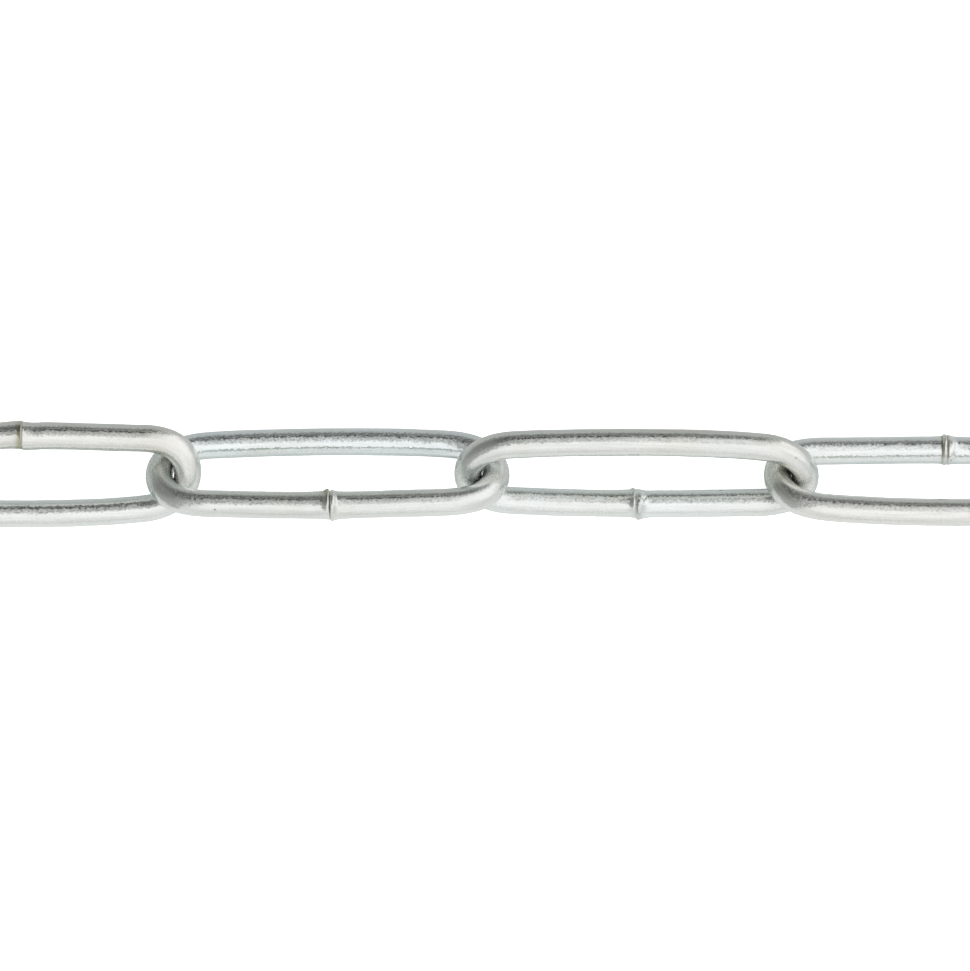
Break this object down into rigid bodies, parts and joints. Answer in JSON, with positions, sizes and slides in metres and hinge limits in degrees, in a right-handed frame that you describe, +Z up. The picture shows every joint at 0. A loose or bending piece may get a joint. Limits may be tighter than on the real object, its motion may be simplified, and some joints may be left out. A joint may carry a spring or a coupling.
{
  "type": "welded long-link chain",
  "caption": "Straight run of welded long-link steel chain in bright zinc-plated wire; each link swings in the crown of the next.",
  "frame": {"origin": "on the floor under the middle of the run of links", "axes": "+X along the chain, +Y across it, +Z up from the floor that it lies on"},
  "size_m": [1.0134, 0.0076, 0.0065],
  "materials": {
    "zinc_plate": "bright zinc plating on drawn steel wire, half gloss, finely speckled, welds left as made"
  },
  "bodies": {
    "link_01": {"link_01": "zinc_plate"},
    "link_02": {"link_02": "zinc_plate"},
    "link_03": {"link_03": "zinc_plate"},
    "link_04": {"link_04": "zinc_plate"},
    "link_05": {"link_05": "zinc_plate"},
    "link_06": {"link_06": "zinc_plate"},
    "link_07": {"link_07": "zinc_plate"},
    "link_08": {"link_08": "zinc_plate"},
    "link_09": {"link_09": "zinc_plate"},
    "link_10": {"link_10": "zinc_plate"},
    "link_11": {"link_11": "zinc_plate"},
    "link_12": {"link_12": "zinc_plate"},
    "link_13": {"link_13": "zinc_plate"},
    "link_14": {"link_14": "zinc_plate"},
    "link_15": {"link_15": "zinc_plate"},
    "link_16": {"link_16": "zinc_plate"},
    "link_17": {"link_17": "zinc_plate"},
    "link_18": {"link_18": "zinc_plate"},
    "link_19": {"link_19": "zinc_plate"},
    "link_20": {"link_20": "zinc_plate"},
    "link_21": {"link_21": "zinc_plate"},
    "link_22": {"link_22": "zinc_plate"},
    "link_23": {"link_23": "zinc_plate"},
    "link_24": {"link_24": "zinc_plate"},
    "link_25": {"link_25": "zinc_plate"},
    "link_26": {"link_26": "zinc_plate"},
    "link_27": {"link_27": "zinc_plate"},
    "link_28": {"link_28": "zinc_plate"},
    "link_29": {"link_29": "zinc_plate"},
    "link_30": {"link_30": "zinc_plate"},
    "link_31": {"link_31": "zinc_plate"},
    "link_32": {"link_32": "zinc_plate"},
    "link_33": {"link_33": "zinc_plate"},
    "link_34": {"link_34": "zinc_plate"},
    "link_35": {"link_35": "zinc_plate"},
    "link_36": {"link_36": "zinc_plate"},
    "link_37": {"link_37": "zinc_plate"},
    "link_38": {"link_38": "zinc_plate"},
    "link_39": {"link_39": "zinc_plate"},
    "link_40": {"link_40": "zinc_plate"},
    "link_41": {"link_41": "zinc_plate"},
    "link_42": {"link_42": "zinc_plate"},
    "link_43": {"link_43": "zinc_plate"},
    "link_44": {"link_44": "zinc_plate"},
    "link_45": {"link_45": "zinc_plate"},
    "link_46": {"link_46": "zinc_plate"}
  },
  "joints": [
    {"name": "swing_24", "type": "hinge", "parent": "link_23", "child": "link_24", "pos_m": [0.00102, 0, 0.00297], "axis": [0, -0.6833, 0.7302], "range_deg": [-90, 90]},
    {"name": "swing_25", "type": "hinge", "parent": "link_24", "child": "link_25", "pos_m": [0.02298, 0.00001, 0.00316], "axis": [0, 0.6704, 0.742], "range_deg": [-90, 90]},
    {"name": "swing_26", "type": "hinge", "parent": "link_25", "child": "link_26", "pos_m": [0.04477, -0.0005, 0.00313], "axis": [0, 0.6778, -0.7353], "range_deg": [-90, 90]},
    {"name": "swing_27", "type": "hinge", "parent": "link_26", "child": "link_27", "pos_m": [0.06665, -0.00013, 0.00299], "axis": [0, -0.656, -0.7548], "range_deg": [-90, 90]},
    {"name": "swing_28", "type": "hinge", "parent": "link_27", "child": "link_28", "pos_m": [0.08861, 0.00006, 0.00292], "axis": [0, -0.7193, 0.6947], "range_deg": [-90, 90]},
    {"name": "swing_29", "type": "hinge", "parent": "link_28", "child": "link_29", "pos_m": [0.11052, -0.00002, 0.00327], "axis": [0, 0.6562, 0.7546], "range_deg": [-90, 90]},
    {"name": "swing_30", "type": "hinge", "parent": "link_29", "child": "link_30", "pos_m": [0.13248, -0.00016, 0.00308], "axis": [0, 0.6776, -0.7354], "range_deg": [-90, 90]},
    {"name": "swing_31", "type": "hinge", "parent": "link_30", "child": "link_31", "pos_m": [0.15444, 0.00001, 0.00299], "axis": [0, -0.7127, -0.7015], "range_deg": [-90, 90]},
    {"name": "swing_32", "type": "hinge", "parent": "link_31", "child": "link_32", "pos_m": [0.17643, 0.00005, 0.00309], "axis": [0, -0.6438, 0.7652], "range_deg": [-90, 90]},
    {"name": "swing_33", "type": "hinge", "parent": "link_32", "child": "link_33", "pos_m": [0.1984, -0.00015, 0.00305], "axis": [0, 0.7002, 0.7139], "range_deg": [-90, 90]},
    {"name": "swing_34", "type": "hinge", "parent": "link_33", "child": "link_34", "pos_m": [0.22036, -0.00006, 0.00321], "axis": [0, 0.6947, -0.7193], "range_deg": [-90, 90]},
    {"name": "swing_35", "type": "hinge", "parent": "link_34", "child": "link_35", "pos_m": [0.24233, 0.00008, 0.00304], "axis": [0, -0.6458, -0.7635], "range_deg": [-90, 90]},
    {"name": "swing_36", "type": "hinge", "parent": "link_35", "child": "link_36", "pos_m": [0.26428, -0.0001, 0.00289], "axis": [0, -0.7157, 0.6984], "range_deg": [-90, 90]},
    {"name": "swing_37", "type": "hinge", "parent": "link_36", "child": "link_37", "pos_m": [0.28619, -0.00012, 0.00326], "axis": [0, 0.6715, 0.741], "range_deg": [-90, 90]},
    {"name": "swing_38", "type": "hinge", "parent": "link_37", "child": "link_38", "pos_m": [0.30815, 0.00007, 0.00313], "axis": [0, 0.6612, -0.7502], "range_deg": [-90, 90]},
    {"name": "swing_39", "type": "hinge", "parent": "link_38", "child": "link_39", "pos_m": [0.33011, -0.00003, 0.00294], "axis": [0, -0.7188, -0.6952], "range_deg": [-90, 90]},
    {"name": "swing_40", "type": "hinge", "parent": "link_39", "child": "link_40", "pos_m": [0.35208, -0.00016, 0.00311], "axis": [0, -0.6516, 0.7586], "range_deg": [-90, 90]},
    {"name": "swing_41", "type": "hinge", "parent": "link_40", "child": "link_41", "pos_m": [0.37405, 0.00003, 0.00307], "axis": [0, 0.684, 0.7295], "range_deg": [-90, 90]},
    {"name": "swing_42", "type": "hinge", "parent": "link_41", "child": "link_42", "pos_m": [0.39603, 0.00003, 0.00317], "axis": [0, 0.7087, -0.7055], "range_deg": [-90, 90]},
    {"name": "swing_43", "type": "hinge", "parent": "link_42", "child": "link_43", "pos_m": [0.418, -0.00015, 0.00308], "axis": [0, -0.6429, -0.766], "range_deg": [-90, 90]},
    {"name": "swing_44", "type": "hinge", "parent": "link_43", "child": "link_44", "pos_m": [0.43996, -0.00004, 0.00288], "axis": [0, -0.7054, 0.7088], "range_deg": [-90, 90]},
    {"name": "swing_45", "type": "hinge", "parent": "link_44", "child": "link_45", "pos_m": [0.46186, 0.00007, 0.00323], "axis": [0, 0.6885, 0.7252], "range_deg": [-90, 90]},
    {"name": "swing_46", "type": "hinge", "parent": "link_45", "child": "link_46", "pos_m": [0.48384, -0.00012, 0.00318], "axis": [0, 0.6488, -0.7609], "range_deg": [-90, 90]},
    {"name": "swing_22", "type": "hinge", "parent": "link_23", "child": "link_22", "pos_m": [-0.02298, 0, 0.00297], "axis": [0, -0.3907, 0.9205], "range_deg": [-90, 90]},
    {"name": "swing_21", "type": "hinge", "parent": "link_22", "child": "link_21", "pos_m": [-0.04479, -0.00008, 0.00307], "axis": [0, 0.7431, 0.6691], "range_deg": [-90, 90]},
    {"name": "swing_20", "type": "hinge", "parent": "link_21", "child": "link_20", "pos_m": [-0.06665, -0.00004, 0.00334], "axis": [0, 0.7158, -0.6983], "range_deg": [-90, 90]},
    {"name": "swing_19", "type": "hinge", "parent": "link_20", "child": "link_19", "pos_m": [-0.08864, 0, 0.00326], "axis": [0, -0.6713, -0.7412], "range_deg": [-90, 90]},
    {"name": "swing_18", "type": "hinge", "parent": "link_19", "child": "link_18", "pos_m": [-0.11057, -0.00016, 0.00297], "axis": [0, -0.6614, 0.75], "range_deg": [-90, 90]},
    {"name": "swing_17", "type": "hinge", "parent": "link_18", "child": "link_17", "pos_m": [-0.13254, 0, 0.00294], "axis": [0, 0.7188, 0.6952], "range_deg": [-90, 90]},
    {"name": "swing_16", "type": "hinge", "parent": "link_17", "child": "link_16", "pos_m": [-0.15446, 0.00005, 0.00327], "axis": [0, 0.6515, -0.7587], "range_deg": [-90, 90]},
    {"name": "swing_15", "type": "hinge", "parent": "link_16", "child": "link_15", "pos_m": [-0.1764, -0.00014, 0.00307], "axis": [0, -0.6842, -0.7293], "range_deg": [-90, 90]},
    {"name": "swing_14", "type": "hinge", "parent": "link_15", "child": "link_14", "pos_m": [-0.19838, -0.00007, 0.00301], "axis": [0, -0.7086, 0.7056], "range_deg": [-90, 90]},
    {"name": "swing_13", "type": "hinge", "parent": "link_14", "child": "link_13", "pos_m": [-0.22036, 0.00008, 0.00308], "axis": [0, 0.6428, 0.766], "range_deg": [-90, 90]},
    {"name": "swing_12", "type": "hinge", "parent": "link_13", "child": "link_12", "pos_m": [-0.24234, -0.00009, 0.00304], "axis": [0, 0.7055, -0.7087], "range_deg": [-90, 90]},
    {"name": "swing_11", "type": "hinge", "parent": "link_12", "child": "link_11", "pos_m": [-0.2643, -0.00013, 0.00323], "axis": [0, -0.6883, -0.7254], "range_deg": [-90, 90]},
    {"name": "swing_10", "type": "hinge", "parent": "link_11", "child": "link_10", "pos_m": [-0.28625, 0.00007, 0.00302], "axis": [0, -0.6489, 0.7608], "range_deg": [-90, 90]},
    {"name": "swing_09", "type": "hinge", "parent": "link_10", "child": "link_09", "pos_m": [-0.30822, -0.00002, 0.0029], "axis": [0, 0.7179, 0.6961], "range_deg": [-90, 90]},
    {"name": "swing_08", "type": "hinge", "parent": "link_09", "child": "link_08", "pos_m": [-0.33011, -0.00016, 0.00327], "axis": [0, 0.6652, -0.7467], "range_deg": [-90, 90]},
    {"name": "swing_07", "type": "hinge", "parent": "link_08", "child": "link_07", "pos_m": [-0.35207, 0.00002, 0.00311], "axis": [0, -0.6672, -0.7449], "range_deg": [-90, 90]},
    {"name": "swing_06", "type": "hinge", "parent": "link_07", "child": "link_06", "pos_m": [-0.37405, 0.00004, 0.00296], "axis": [0, -0.7173, 0.6968], "range_deg": [-90, 90]},
    {"name": "swing_05", "type": "hinge", "parent": "link_06", "child": "link_05", "pos_m": [-0.396, -0.00015, 0.00311], "axis": [0, 0.6478, 0.7618], "range_deg": [-90, 90]},
    {"name": "swing_04", "type": "hinge", "parent": "link_05", "child": "link_04", "pos_m": [-0.41799, -0.00005, 0.00306], "axis": [0, 0.6905, -0.7233], "range_deg": [-90, 90]},
    {"name": "swing_03", "type": "hinge", "parent": "link_04", "child": "link_03", "pos_m": [-0.43996, 0.00008, 0.00319], "axis": [0, -0.7038, -0.7104], "range_deg": [-90, 90]},
    {"name": "swing_02", "type": "hinge", "parent": "link_03", "child": "link_02", "pos_m": [-0.46193, -0.00011, 0.00307], "axis": [0, -0.643, 0.7658], "range_deg": [-90, 90]},
    {"name": "swing_01", "type": "hinge", "parent": "link_02", "child": "link_01", "pos_m": [-0.4839, -0.00011, 0.00288], "axis": [0, 0.71, 0.7042], "range_deg": [-90, 90]}
  ]
}
